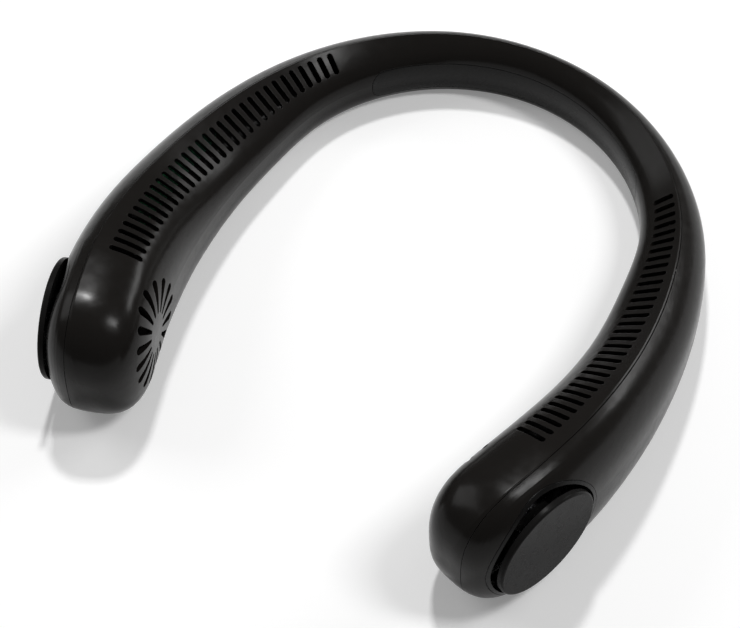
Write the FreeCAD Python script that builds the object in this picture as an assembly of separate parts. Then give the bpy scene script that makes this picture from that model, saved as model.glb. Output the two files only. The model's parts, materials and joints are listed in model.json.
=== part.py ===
import FreeCAD, Part
import math
import os

from FreeCAD import Matrix, Placement, Vector

# Electric neck fan: a hollow horseshoe with a blower in each end and air slots along both arms.
# It lies on a table, on both pods and the nape band. +Z is up and the open front faces -Y.
# The origin is on the table, under the middle of the fan. Left and right are as seen from in front.
# Lengths are millimetres and angles are degrees. u is outboard of the centre line, v is above it.

# Centre line: an arc round the nape, then a flatter arc along each arm to the middle of the pod
neck_radius = 75.0
neck_angle = 74.0
arm_radius = 185.0
arm_length = 109.5

# Housing section at the nape, at the shoulder, in the middle of the arm and at the pod
shoulder_station_share = 0.28
arm_station_share = 0.6
rear_width = 12.2
shoulder_width = 16.6
arm_width = 27.5
pod_width = 33.0
rear_height = 22.8
shoulder_height = 23.6
arm_height = 32.6
pod_height = 47.8
wall = 1.8

# Ridge along the top: its place outboard of the centre line, and how steeply both faces leave it
rear_ridge = 0.8
shoulder_ridge = 1.0
arm_ridge = 3.2
pod_ridge = 5.0
rear_slope = 20.0
shoulder_slope = 30.5
arm_slope = 30.5
pod_slope = 4.0
outer_slope = 26.0
pod_outer_slope = 10.0
slotted_face_share = 0.84
outer_face_share = 0.55
side_share = 0.7
belly_share = 0.82

# Rounded nose of each pod, past a short straight stretch
pod_straight = 4.0
nose_length = 21.7
nose_full_share = 0.64
nose_tip_share = 0.12
parting_nose_shares = (0.5, 1.0, 1.5)
arm_section_count = 12
station_crowding = 1.6
parting_section_count = 10
rear_section_count = 4
section_degree = 3

# Seams and fits
seam_gap = 0.2
seam_offset = 0.6
loose_fit = 0.15
glue_fit = 0.02
running_fit = 0.03
overrun = 3.0

# Air slots across the sloping face of each arm
slot_count = 32
slot_pitch = 3.8
slot_width = 1.9
first_slot_gap = 14.0
slot_start = 0.5
slot_reach_share = 0.62
slot_cut_depth = 4.0

# Nape cover, set into the inner side of the rear band, and the floor that it lies on
cover_run = 62.0
cover_low = 7.0
cover_high = 4.6
cover_corner = 4.5
cover_thickness = 1.6
cover_gap = 0.2
cover_depth = 9.0
floor_thickness = 1.2
floor_margin = 2.0

# Housing screws under the nape cover, driven into bosses of the outer shell
housing_screw_run = 55.0
housing_screw_drop = 1.6
housing_screw_radius = 0.9
housing_screw_head_radius = 1.6
housing_screw_head_depth = 0.7
housing_screw_sink = 0.25
housing_screw_length = 7.0
housing_boss_radius = 2.1
housing_boss_gap = 0.3

# Battery cells in the rear band, and the baffle that ends each air duct
cell_length = 36.0
cell_height = 8.0
cell_thickness = 5.0
cell_corner = 1.2
cell_run = 29.0
cell_drop = 1.2
cell_gap = 0.5
baffle_run = 67.0
baffle_thickness = 1.4
baffle_hole_radius = 1.6

# Intake ring in the outer side of each pod
ring_radius = 21.2
ring_bore = 20.1
seat_level = 9.4
seat_radius = 26.0
seat_bore = 19.4
seat_thickness = 1.0
hub_radius = 12.0
hub_thickness = 2.0
spoke_count = 6
spoke_width = 2.4
bearing_tube_radius = 3.0
bearing_tube_length = 7.0

# Intake disc on three posts in front of the ring
disc_radius = 19.2
disc_thickness = 2.0
disc_face_level = 16.4
disc_rim_round = 0.8
post_count = 3
post_radius = 2.0
post_circle = 10.2
disc_screw_radius = 0.7
disc_screw_head_radius = 1.4
disc_screw_head_height = 0.9
disc_screw_bite = 2.0

# Grille of tapered openings in the inner side of each pod
petal_count = 16
petal_reach = 17.2
petal_start = 6.4
petal_tip_radius = 1.45
petal_root_radius = 0.55
petal_cut_level = 11.0

# Blower wheel, fed from both sides
wheel_radius = 17.2
wheel_inner_end = 6.4
wheel_outer_end = 7.0
wheel_ring_width = 2.6
wheel_ring_height = 1.2
web_thickness = 1.2
blade_count = 21
blade_inner_radius = 13.2
blade_thickness = 0.8
blade_sweep = 16.0
blade_bow_share = 0.25
wheel_hub_wall = 1.1
wheel_hub_drop = 1.0

# Motor of the blower: the rotor turns round a stator on the bearing tube
stator_radius = 7.0
stator_stack = 4.0
stator_teeth = 6
stator_core_wall = 1.4
tooth_width = 1.5
shoe_thickness = 0.8
shoe_share = 0.78
coil_width = 2.9
coil_overhang = 0.8
coil_gap = 0.3
air_gap = 0.3
magnet_thickness = 1.0
rotor_wall = 0.6
rotor_end_thickness = 0.7
rotor_floor_gap = 1.3
motor_board_radius = 8.6
motor_board_thickness = 0.8
board_to_coil_gap = 0.4
shaft_radius = 1.0
shaft_end_gap = 0.4
bush_radius = 2.2

# Control board in the left arm, with its switch, button, charging socket and charge lights
board_run = 140.0
board_length = 44.0
board_width = 11.0
board_thickness = 1.2
board_depth = 7.8
board_boss_inset = 3.0
board_boss_radius = 2.0
board_screw_radius = 0.8
board_screw_head_radius = 1.6
board_screw_head_height = 1.0
board_screw_bite = 3.0
switch_size = 6.0
switch_height = 2.4
plunger_radius = 1.7
plunger_height = 0.7
button_radius = 4.0
button_proud = 0.5
button_edge_round = 0.6
button_flange_radius = 5.0
button_flange_thickness = 0.9
button_travel = 0.5
button_slack = 0.1
button_fit = 0.3
socket_offset = 11.5
socket_width = 8.9
socket_height = 3.2
socket_wall = 0.35
socket_back = 0.8
socket_sunk = 0.5
tongue_width = 6.6
tongue_thickness = 0.7
tongue_sunk = 0.9
light_count = 4
light_pitch = 2.4
light_offset = 11.5
light_radius = 0.8
light_bar_height = 1.0
light_bar_margin = 0.5
light_sunk = 0.3
light_level_gap = 0.2

neck_turn = math.radians(neck_angle)
neck_run = neck_radius * neck_turn
pod_run = neck_run + arm_length
beyond = 2 * (neck_radius + pod_width)
up = Vector(0, 0, 1)
hub_under = seat_level
hub_face = hub_under + hub_thickness
floor_inset = cover_thickness + loose_fit
floor_back = floor_inset + floor_thickness


# Shape of the horseshoe

def path(run):
    """Point, forward direction and outward direction of the right half's centre line, from the nape."""
    held = min(run, pod_run)
    if held <= neck_run:
        turn = held / neck_radius
        point = Vector(neck_radius * math.sin(turn), neck_radius * math.cos(turn), 0)
    else:
        turn = neck_turn + (held - neck_run) / arm_radius
        across = neck_radius * math.sin(neck_turn) + arm_radius * (math.sin(turn) - math.sin(neck_turn))
        along_y = neck_radius * math.cos(neck_turn) + arm_radius * (math.cos(turn) - math.cos(neck_turn))
        point = Vector(across, along_y, 0)
    forward = Vector(math.cos(turn), -math.sin(turn), 0)
    outward = Vector(math.sin(turn), math.cos(turn), 0)
    return point + forward * (run - held), forward, outward


def blend(run, rear, shoulder, arm, pod):
    """A size that runs smoothly from the nape through the shoulder and the arm to the pod."""
    places = (0.0, pod_run * shoulder_station_share, pod_run * arm_station_share, pod_run)
    sizes = (rear, shoulder, arm, pod)
    rates = [(sizes[i + 1] - sizes[i]) / (places[i + 1] - places[i]) for i in range(3)]
    slopes = [0.0]
    for before, after in zip(rates, rates[1:]):
        slopes.append(2 * before * after / (before + after) if before * after > 0 else 0.0)
    slopes.append(0.0)
    held = min(max(run, 0.0), pod_run)
    i = 0 if held < places[1] else 1 if held < places[2] else 2
    step = places[i + 1] - places[i]
    t = (held - places[i]) / step
    value = sizes[i] * (1 + 2 * t) * (1 - t) ** 2 + sizes[i + 1] * t * t * (3 - 2 * t)
    return value + step * t * (1 - t) * (slopes[i] * (1 - t) - slopes[i + 1] * t)


def half_width(run):
    return blend(run, rear_width, shoulder_width, arm_width, pod_width) / 2


def half_height(run):
    return blend(run, rear_height, shoulder_height, arm_height, pod_height) / 2


def ridge_place(run):
    return blend(run, rear_ridge, shoulder_ridge, arm_ridge, pod_ridge)


def face_slope(run):
    return math.radians(blend(run, rear_slope, shoulder_slope, arm_slope, pod_slope))


def place_at(run, side=1):
    """Maker of space points from (u, v) at a station, on the right side or mirrored on the left."""
    point, forward, outward = path(run)
    origin = point + up * half_height(run)

    def place(u, v):
        p = origin + outward * u + up * v
        return Vector(side * p.x, p.y, p.z)

    return place


def corners_at(run, inset=0.0):
    """Control points (u, v) of the housing's section at a station, drawn in by inset: a ring of curves."""
    reach = half_width(run) - inset
    rise = half_height(run) - inset
    ridge = ridge_place(run)
    inner_run = (ridge + reach) * slotted_face_share
    inner_v = rise - inner_run * math.tan(face_slope(run))
    outer_run = (reach - ridge) * outer_face_share
    steepness = blend(run, outer_slope, outer_slope, outer_slope, pod_outer_slope)
    outer_v = rise - outer_run * math.tan(math.radians(steepness))
    return [
        (ridge, rise), (ridge + outer_run, outer_v), (reach, outer_v * side_share), (reach, 0),
        (reach, -rise * belly_share), (reach * belly_share, -rise), (0, -rise),
        (-reach * belly_share, -rise), (-reach, -rise * belly_share), (-reach, 0),
        (-reach, inner_v * side_share), (ridge - inner_run, inner_v), (ridge, rise),
    ]


def section(run, side=1, inset=0.0, scale=1.0):
    """Closed section of the housing at a station, drawn in by inset, then scaled about the centre line."""
    place = place_at(run, side)
    points = [place(u * scale, v * scale) for u, v in corners_at(run, inset)]
    edges = []
    for i in range(0, len(points) - 1, section_degree):
        curve = Part.BezierCurve()
        curve.setPoles(points[i:i + section_degree + 1])
        edges.append(curve.toShape())
    return Part.Wire(edges)


def loft(sections):
    return Part.makeLoft(sections, True, False, False, section_degree)


def nose(side, inset):
    """Rounded end of a pod: its section, drawn in along a full curve to a small flat tip."""
    start = pod_run + pod_straight
    length = nose_length - inset
    full = nose_tip_share + (1 - nose_tip_share) * nose_full_share
    profile = ((1, 0), (1, length * nose_full_share), (full, length), (nose_tip_share, length))
    corners = corners_at(start, inset)
    faces = [Part.Face(section(start, side, inset))]
    for first in range(0, len(corners) - 1, section_degree):
        surface = Part.BezierSurface()
        surface.increase(section_degree, section_degree)
        for i in range(section_degree + 1):
            u, v = corners[first + i]
            for j, (scale, ahead) in enumerate(profile):
                surface.setPole(i + 1, j + 1, place_at(start + ahead, side)(u * scale, v * scale))
        faces.append(surface.toShape())
    faces.append(Part.Face(section(start + length, side, inset, nose_tip_share)))
    shell = Part.makeShell(faces)
    shell.sewShape()
    return Part.makeSolid(shell)


def skin(inset):
    """Solid of the whole horseshoe, drawn in by inset. Its stations stand closer towards the pods."""
    steps = range(1, arm_section_count + 1)
    shares = [1 - (1 - i / arm_section_count) ** station_crowding for i in steps]
    runs = [(pod_run + pod_straight) * share for share in shares]
    left = [section(run, -1, inset) for run in reversed(runs)]
    right = [section(run, 1, inset) for run in runs]
    body = loft(left + [section(0.0, 1, inset)] + right)
    return body.multiFuse([nose(-1, inset), nose(1, inset)])


def rear_skin(inset, reach):
    """Solid of the rear band alone, out to a station on both sides, drawn in by inset."""
    runs = [reach * i / rear_section_count for i in range(1, rear_section_count + 1)]
    left = [section(run, -1, inset) for run in reversed(runs)]
    right = [section(run, 1, inset) for run in runs]
    return loft(left + [section(0.0, 1, inset)] + right)


def parting_region(offset):
    """Everything outboard of the parting wall, which follows the ridge and runs straight past the pods."""
    runs = [pod_run * i / parting_section_count for i in range(1, parting_section_count + 1)]
    runs += [pod_run + pod_straight + nose_length * share for share in parting_nose_shares]
    right = []
    for run in runs:
        p = place_at(run)(ridge_place(run) + seam_offset + offset, 0)
        right.append(Vector(p.x, p.y, -overrun))
    first = place_at(0.0)(ridge_place(0.0) + seam_offset + offset, 0)
    points = [Vector(-p.x, p.y, p.z) for p in reversed(right)]
    points += [Vector(first.x, first.y, -overrun)] + right
    curve = Part.BSplineCurve()
    curve.interpolate(points)
    end = points[-1]
    corners = [end, Vector(beyond, end.y, end.z), Vector(beyond, beyond, end.z)]
    corners += [Vector(-p.x, p.y, p.z) for p in reversed(corners)]
    wire = Part.Wire([curve.toShape()] + Part.makePolygon(corners).Edges)
    return Part.Face(wire).extrude(up * (pod_height + 2 * overrun))


# Tools for building pieces about an axis

def frame_at(run):
    """Placement of a piece built with X up, Y forward along the arm and Z outward, at a station."""
    point, forward, outward = path(run)
    origin = point + up * half_height(run)
    return Placement(Matrix(
        up.x, forward.x, outward.x, origin.x,
        up.y, forward.y, outward.y, origin.y,
        up.z, forward.z, outward.z, origin.z,
        0, 0, 0, 1))


def placed(shape, run, side=1):
    """A piece moved to its station on the right arm, or mirrored to the left arm."""
    moved = shape.copy()
    moved.Placement = frame_at(run).multiply(moved.Placement)
    return moved if side > 0 else mirrored(moved)


def mirrored(shape):
    return shape.mirror(Vector(0, 0, 0), Vector(1, 0, 0))


def rod(radius, low, high, x=0.0, y=0.0):
    return Part.makeCylinder(radius, high - low, Vector(x, y, low))


def tube(radius, bore, low, high):
    return rod(radius, low, high).cut(rod(bore, low - overrun, high + overrun))


def block(size_x, size_y, low, high, x=0.0, y=0.0):
    return Part.makeBox(size_x, size_y, high - low, Vector(x - size_x / 2, y - size_y / 2, low))


def stadium(width, length, low, high):
    """Slot-shaped prism, rounded at both ends, with its length along Y."""
    half = (length - width) / 2
    middle = block(width, length - width, low, high)
    ends = [rod(width / 2, low, high, 0, place) for place in (-half, half)]
    return middle.multiFuse(ends).removeSplitter()


def around(shape, count, start=0.0):
    """Copies of a shape turned evenly about Z."""
    copies = []
    for i in range(count):
        turned = shape.copy()
        turned.rotate(Vector(0, 0, 0), up, start + 360.0 * i / count)
        copies.append(turned)
    return copies


def round_edges(shape, radius, level, rim_radius):
    """Round the circular edges of one radius at one level."""
    rims = []
    for edge in shape.Edges:
        is_circle = edge.Curve.TypeId == "Part::GeomCircle"
        if is_circle and abs(edge.Curve.Radius - rim_radius) < loose_fit:
            if abs(edge.Curve.Center.z - level) < loose_fit:
                rims.append(edge)
    return shape.makeFillet(radius, rims)


# Pieces of one blower, built about the pod's axis with Z outward

def make_intake_ring(hull):
    """Bezel flush with the pod, with spokes, the motor's hub and its bearing tube."""
    blank = tube(ring_radius, ring_bore, seat_level, pod_width)
    hull_in_frame = hull.copy()
    hull_in_frame.Placement = frame_at(pod_run).inverse()
    rim = blank.common(hull_in_frame)
    hub = rod(hub_radius, hub_under, hub_face)
    spoke_end = (ring_radius + ring_bore) / 2
    spoke = Part.makeBox(spoke_width, spoke_end, hub_thickness, Vector(-spoke_width / 2, 0, hub_under))
    tower = rod(bearing_tube_radius, hub_under - bearing_tube_length, hub_under)
    body = rim.multiFuse([hub, tower] + around(spoke, spoke_count))
    bush_seat = rod(bush_radius + glue_fit, hub_under - bearing_tube_length - overrun, hub_under)
    screw_hole = rod(disc_screw_radius + loose_fit, hub_under - overrun, hub_face + overrun, post_circle)
    return body.cut(bush_seat).cut(Part.makeCompound(around(screw_hole, post_count))).removeSplitter()


def make_intake_disc():
    under = disc_face_level - disc_thickness
    plate = rod(disc_radius, under, disc_face_level)
    plate = round_edges(plate, disc_rim_round, disc_face_level, disc_radius)
    post = rod(post_radius, hub_face, under, post_circle)
    pilot_end = hub_face + disc_screw_bite + glue_fit
    pilot = rod(disc_screw_radius + glue_fit, hub_face - overrun, pilot_end, post_circle)
    return plate.multiFuse(around(post, post_count)).cut(Part.makeCompound(around(pilot, post_count)))


def make_disc_screws():
    head = rod(disc_screw_head_radius, hub_under - disc_screw_head_height, hub_under, post_circle)
    shank = rod(disc_screw_radius, hub_under, hub_face + disc_screw_bite, post_circle)
    return Part.makeCompound(around(head.fuse(shank), post_count))


def make_motor_board():
    bore = bearing_tube_radius + loose_fit
    return tube(motor_board_radius, bore, hub_under - motor_board_thickness, hub_under)


board_under = hub_under - motor_board_thickness
coil_top = board_under - board_to_coil_gap
stack_top = coil_top - coil_overhang
stack_bottom = stack_top - stator_stack
coil_bottom = stack_bottom - coil_overhang
rotor_floor = coil_bottom - rotor_floor_gap
rotor_bottom = rotor_floor - rotor_end_thickness
magnet_radius = stator_radius + air_gap + magnet_thickness
rotor_radius = magnet_radius + glue_fit + rotor_wall
core_radius = bearing_tube_radius + glue_fit + stator_core_wall


def make_stator():
    """Laminated core with teeth that end in curved shoes."""
    core = tube(core_radius, bearing_tube_radius + glue_fit, stack_bottom, stack_top)
    reach = stator_radius - shoe_thickness / 2
    tooth = Part.makeBox(reach - bearing_tube_radius, tooth_width, stator_stack)
    tooth.translate(Vector(bearing_tube_radius, -tooth_width / 2, stack_bottom))
    shoe_angle = 360.0 / stator_teeth * shoe_share
    sector = Part.makeCylinder(stator_radius, stator_stack, Vector(0, 0, stack_bottom), up, shoe_angle)
    sector.rotate(Vector(0, 0, 0), up, -shoe_angle / 2)
    shoe = sector.cut(rod(stator_radius - shoe_thickness, stack_bottom - overrun, stack_top + overrun))
    bore = rod(bearing_tube_radius + glue_fit, stack_bottom - overrun, stack_top + overrun)
    teeth = [part.fuse(cap) for part, cap in zip(around(tooth, stator_teeth), around(shoe, stator_teeth))]
    return core.multiFuse(teeth).cut(bore).removeSplitter()


def make_coils():
    """One winding round each tooth."""
    start = core_radius + coil_gap
    length = stator_radius - shoe_thickness - coil_gap - start
    winding = Part.makeBox(length, coil_width, coil_top - coil_bottom)
    winding.translate(Vector(start, -coil_width / 2, coil_bottom))
    opening = Part.makeBox(length + 2 * overrun, tooth_width + 2 * glue_fit, stator_stack + 2 * glue_fit)
    opening.translate(Vector(start - overrun, -tooth_width / 2 - glue_fit, stack_bottom - glue_fit))
    return Part.makeCompound(around(winding.cut(opening), stator_teeth))


def make_bearing_bush():
    low = hub_under - bearing_tube_length
    return tube(bush_radius, shaft_radius + running_fit, low, hub_under - shaft_end_gap)


def make_motor_shaft():
    return rod(shaft_radius, rotor_bottom, hub_under - shaft_end_gap)


def make_rotor_cup():
    body = rod(rotor_radius, rotor_bottom, coil_top)
    body = body.cut(rod(magnet_radius + glue_fit, rotor_floor, coil_top + overrun))
    return body.cut(rod(shaft_radius + glue_fit, rotor_bottom - overrun, coil_top))


def make_ring_magnet():
    return tube(magnet_radius, stator_radius + air_gap, stack_bottom - coil_overhang, coil_top)


def make_impeller():
    """Wheel of swept blades on a web, with a ring at each end and a hub cup that holds the rotor."""
    hub_bore = rotor_radius + glue_fit
    hub_top = coil_top - wheel_hub_drop
    hub = rod(hub_bore + wheel_hub_wall, rotor_bottom - web_thickness, hub_top)
    hub = hub.cut(rod(hub_bore, rotor_bottom, hub_top + overrun))
    web = rod(wheel_radius, rotor_bottom - web_thickness, rotor_bottom)
    web = web.cut(rod(hub_bore, rotor_bottom - web_thickness, rotor_bottom + overrun))
    ring_bore_radius = wheel_radius - wheel_ring_width
    inner_ring = tube(wheel_radius, ring_bore_radius, -wheel_inner_end, -wheel_inner_end + wheel_ring_height)
    outer_ring = tube(wheel_radius, ring_bore_radius, wheel_outer_end - wheel_ring_height, wheel_outer_end)
    blades = around(make_blade(), blade_count)
    return hub.multiFuse([web, inner_ring, outer_ring] + blades).removeSplitter()


def make_blade():
    """One blade: a thin plate between two arcs, swept round from its inner to its outer edge."""

    def polar(radius, angle):
        turn = math.radians(angle)
        return Vector(radius * math.cos(turn), radius * math.sin(turn), -wheel_inner_end)

    tip_radius = wheel_radius - blade_thickness / 2
    middle_radius = (blade_inner_radius + tip_radius) / 2
    inner_step = math.degrees(blade_thickness / blade_inner_radius)
    middle_step = math.degrees(blade_thickness / middle_radius)
    outer_step = math.degrees(blade_thickness / tip_radius)
    bow = blade_sweep * blade_bow_share
    front = Part.Arc(polar(blade_inner_radius, 0), polar(middle_radius, bow), polar(tip_radius, blade_sweep))
    back = Part.Arc(
        polar(tip_radius, blade_sweep + outer_step),
        polar(middle_radius, bow + middle_step),
        polar(blade_inner_radius, inner_step))
    tip = Part.LineSegment(front.EndPoint, back.StartPoint)
    root = Part.LineSegment(back.EndPoint, front.StartPoint)
    outline = Part.Wire([front.toShape(), tip.toShape(), back.toShape(), root.toShape()])
    return Part.Face(outline).extrude(up * (wheel_inner_end + wheel_outer_end))


def make_petals():
    """Tapered openings of the grille, round the pod's axis."""
    tip_centre = petal_reach - petal_tip_radius
    root_centre = petal_start + petal_root_radius
    tilt = math.asin((petal_tip_radius - petal_root_radius) / (tip_centre - root_centre))
    level = -pod_width / 2 - overrun

    def rim(centre, radius, turn):
        return Vector(centre + radius * math.cos(turn), radius * math.sin(turn), level)

    square = math.pi / 2
    tip_a = rim(tip_centre, petal_tip_radius, -square - tilt)
    tip_b = rim(tip_centre, petal_tip_radius, square + tilt)
    root_a = rim(root_centre, petal_root_radius, square + tilt)
    root_b = rim(root_centre, petal_root_radius, -square - tilt)
    tip = Part.Arc(tip_a, Vector(petal_reach, 0, level), tip_b)
    root = Part.Arc(root_a, Vector(petal_start, 0, level), root_b)
    sides = [Part.LineSegment(tip_b, root_a), Part.LineSegment(root_b, tip_a)]
    outline = Part.Wire([tip.toShape(), sides[0].toShape(), root.toShape(), sides[1].toShape()])
    petal = Part.Face(outline).extrude(up * (-petal_cut_level - level))
    return Part.makeCompound(around(petal, petal_count, 180.0 / petal_count))


# Controls in the left arm, built at their station with Z outward

surface_level = half_width(board_run)
board_level = surface_level - board_depth
board_screw_place = board_length / 2 - board_boss_inset
button_top = surface_level + button_proud
plunger_top = board_level + switch_height + plunger_height
button_under = plunger_top + button_travel + button_slack
light_level = board_level + light_level_gap


def make_control_board():
    plate = block(board_width, board_length, board_level - board_thickness, board_level)
    holes = []
    for place in (-board_screw_place, board_screw_place):
        low = board_level - board_thickness - overrun
        holes.append(rod(board_screw_radius + loose_fit, low, board_level + overrun, 0, place))
    return plate.cut(Part.makeCompound(holes))


def make_board_screws():
    screws = []
    under = board_level - board_thickness
    for place in (-board_screw_place, board_screw_place):
        head = rod(board_screw_head_radius, under - board_screw_head_height, under, 0, place)
        shank = rod(board_screw_radius, under, board_level + board_screw_bite, 0, place)
        screws.append(head.fuse(shank))
    return Part.makeCompound(screws)


def make_board_bosses():
    """Posts of the outer shell that the control board is screwed to."""
    places = (-board_screw_place, board_screw_place)
    return Part.makeCompound([rod(board_boss_radius, board_level, surface_level, 0, y) for y in places])


def make_board_pilots():
    low = board_level - overrun
    high = board_level + board_screw_bite + glue_fit
    places = (-board_screw_place, board_screw_place)
    return Part.makeCompound([rod(board_screw_radius + glue_fit, low, high, 0, y) for y in places])


def make_tact_switch():
    body = block(switch_size, switch_size, board_level, board_level + switch_height)
    return body.fuse(rod(plunger_radius, board_level, plunger_top))


def make_power_button():
    cap = rod(button_radius, button_under, button_top)
    cap = round_edges(cap, button_edge_round, button_top, button_radius)
    flange = rod(button_flange_radius, button_under, button_under + button_flange_thickness)
    return cap.fuse(flange).removeSplitter()


def make_usb_socket():
    """Charging socket: a thin metal shell with a tongue, standing on the board."""
    mouth = surface_level - socket_sunk
    shell = stadium(socket_height, socket_width, board_level, mouth)
    lining = 2 * socket_wall
    inside = stadium(socket_height - lining, socket_width - lining, board_level + socket_back, mouth)
    tongue = block(tongue_thickness, tongue_width, board_level, mouth - tongue_sunk)
    socket = shell.cut(inside).fuse(tongue).removeSplitter()
    socket.translate(Vector(0, -socket_offset, 0))
    return socket


def light_places():
    return [light_offset + light_pitch * (i - (light_count - 1) / 2) for i in range(light_count)]


def make_light_pipe():
    """Clear bar over the charge lights, with a stem to each window."""
    length = light_pitch * (light_count - 1) + 2 * (light_radius + light_bar_margin)
    width = 2 * (light_radius + light_bar_margin)
    bar = block(width, length, light_level, light_level + light_bar_height, 0, light_offset)
    stems = [rod(light_radius, light_level, surface_level - light_sunk, 0, y) for y in light_places()]
    return bar.multiFuse(stems).removeSplitter()


def make_control_openings():
    """Holes in the outer shell for the button, the socket and the charge lights."""
    low = board_level
    high = surface_level + overrun
    socket_hole = stadium(socket_height + 2 * loose_fit, socket_width + 2 * loose_fit, low, high)
    socket_hole.translate(Vector(0, -socket_offset, 0))
    holes = [rod(button_radius + button_fit, low, high), socket_hole]
    holes += [rod(light_radius + loose_fit, low, high, 0, y) for y in light_places()]
    return Part.makeCompound(holes)


# Housing

def make_slots():
    """Cutters for the air slots, square to the sloping face of the right arm."""
    cutters = []
    for i in range(slot_count):
        run = pod_run - first_slot_gap - slot_pitch * i
        far = -half_width(run) * slot_reach_share
        u = (slot_start + far) / 2
        slope = face_slope(run)
        v = half_height(run) - (ridge_place(run) - u) * math.tan(slope)
        cutter = stadium(slot_width, (slot_start - far) / math.cos(slope), -slot_cut_depth, slot_cut_depth)
        cutter.rotate(Vector(0, 0, 0), Vector(1, 0, 0), math.degrees(slope))
        cutter.Placement = turn_into_arm(cutter.Placement, u, v)
        cutters.append(placed(cutter, run))
    return Part.makeCompound(cutters)


def turn_into_arm(placement, u, v):
    """Place a cutter built with X along the arm and its slope in the YZ plane at (u, v) of a section."""
    turn = Placement(Matrix(0, 0, 1, v, 1, 0, 0, 0, 0, 1, 0, u, 0, 0, 0, 1))
    return turn.multiply(placement)


def cover_band(grow):
    """Block with rounded corners that bounds the nape cover on the inner side of the rear band."""
    reach = cover_run + grow
    wires = []
    for i in range(-rear_section_count, rear_section_count + 1):
        run = abs(i) * reach / rear_section_count
        place = place_at(run, -1 if i < 0 else 1)
        outer = -half_width(run) + cover_depth / 2
        low = -cover_low - grow
        high = cover_high + grow
        corners = [(outer, low), (outer, high), (outer - cover_depth, high), (outer - cover_depth, low)]
        points = [place(u, v) for u, v in corners]
        wires.append(Part.makePolygon(points + points[:1]))
    band = loft(wires)
    ends = [face for face in band.Faces if face.Surface.TypeId == "Part::GeomPlane"]
    corner_edges = []
    for face in ends:
        for edge in face.Edges:
            first, last = (vertex.Point for vertex in edge.Vertexes)
            if abs(first.z - last.z) < seam_gap:
                corner_edges.append(edge)
    return band.makeFillet(cover_corner + grow, [e for e in corner_edges if e.Length < cover_depth + overrun])


def make_nape_cover(hull):
    inside = rear_skin(cover_thickness, cover_run + 2 * floor_margin)
    return hull.common(cover_band(0.0)).cut(inside)


def make_nape_floor():
    """Floor of the cover's recess, which stays part of the inner shell."""
    reach = cover_run + 2 * floor_margin
    layer = rear_skin(floor_inset, reach).cut(rear_skin(floor_back, reach))
    return layer.common(cover_band(floor_margin))


def make_nape_recess():
    return cover_band(cover_gap).cut(rear_skin(floor_inset, cover_run + 2 * floor_margin))


def at_housing_screws(maker):
    """One shape at each housing screw: at both ends of the recess and in the middle of the nape."""
    shapes = []
    for run, side in ((housing_screw_run, -1), (0.0, 1), (housing_screw_run, 1)):
        shape = maker(half_width(run))
        shape.translate(Vector(-housing_screw_drop, 0, 0))
        shapes.append(placed(shape, run, side))
    return Part.makeCompound(shapes)


def make_housing_screw(reach):
    """Countersunk screw that draws the two shells together, with its head in the recess floor."""
    level = floor_inset + housing_screw_sink - reach
    depth = housing_screw_head_depth
    head = Part.makeCone(housing_screw_head_radius, housing_screw_radius, depth, Vector(0, 0, level))
    return head.fuse(rod(housing_screw_radius, level + depth, level + housing_screw_length))


def make_housing_screw_hole(reach):
    level = floor_inset + housing_screw_sink - reach
    wide = housing_screw_head_radius + loose_fit
    narrow = housing_screw_radius + loose_fit
    sink = Part.makeCone(wide, narrow, housing_screw_head_depth, Vector(0, 0, level))
    hole = rod(narrow, level, level + housing_screw_length)
    return rod(wide, level - overrun, level).multiFuse([sink, hole])


def make_housing_boss(reach):
    """Post of the outer shell that takes a housing screw."""
    return rod(housing_boss_radius, floor_back + housing_boss_gap - reach, reach - wall / 2)


def make_housing_pilot(reach):
    level = floor_inset + housing_screw_sink - reach
    return rod(housing_screw_radius + glue_fit, level, level + housing_screw_length + glue_fit)


def make_outer_shell(shell, hull):
    """Outer half of the housing, open at both pods, with its seats, bosses and control openings."""
    half = shell.common(parting_region(seam_gap / 2))
    seat = tube(seat_radius, seat_bore, seat_level - seat_thickness, seat_level)
    inside = [placed(seat, pod_run, side) for side in (-1, 1)]
    inside += [placed(make_board_bosses(), board_run, -1), at_housing_screws(make_housing_boss)]
    body = half
    for piece in inside:
        body = body.fuse(piece.common(hull))
    opening = rod(ring_radius + loose_fit, seat_level, pod_width)
    cutters = [placed(opening, pod_run, side) for side in (-1, 1)]
    cutters += [placed(make_control_openings(), board_run, -1), placed(make_board_pilots(), board_run, -1)]
    cutters.append(at_housing_screws(make_housing_pilot))
    for cutter in cutters:
        body = body.cut(cutter)
    return body


def make_inner_shell(shell):
    """Inner half of the housing, with the air slots, both grilles and the nape recess."""
    half = shell.cut(parting_region(-seam_gap / 2))
    half = half.cut(make_nape_recess()).fuse(make_nape_floor())
    half = half.cut(at_housing_screws(make_housing_screw_hole))
    right_space = Part.makeBox(beyond, 2 * beyond, beyond, Vector(0, -beyond, -overrun))
    right = half.common(right_space).cut(make_slots()).cut(placed(make_petals(), pod_run))
    return right.fuse(mirrored(right))


def make_battery_cell():
    """Pouch cell with rounded long edges, built at its station with Z outward."""
    low = floor_back + cell_gap - half_width(cell_run)
    cell = block(cell_height, cell_length, low, low + cell_thickness, -cell_drop)
    long_edges = [edge for edge in cell.Edges if abs(edge.Length - cell_length) < loose_fit]
    return cell.makeFillet(cell_corner, long_edges)


def make_duct_baffle():
    """Plate that closes the air duct behind the last slot, with a hole for the motor's leads."""
    inside = rear_skin(wall + loose_fit, baffle_run + 2 * overrun)
    slab = block(pod_height, baffle_thickness, -pod_width, pod_width)
    hole = rod(baffle_hole_radius, -pod_width, pod_width)
    hole.rotate(Vector(0, 0, 0), Vector(1, 0, 0), 90.0)
    return placed(slab.cut(hole), baffle_run).common(inside)


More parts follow.
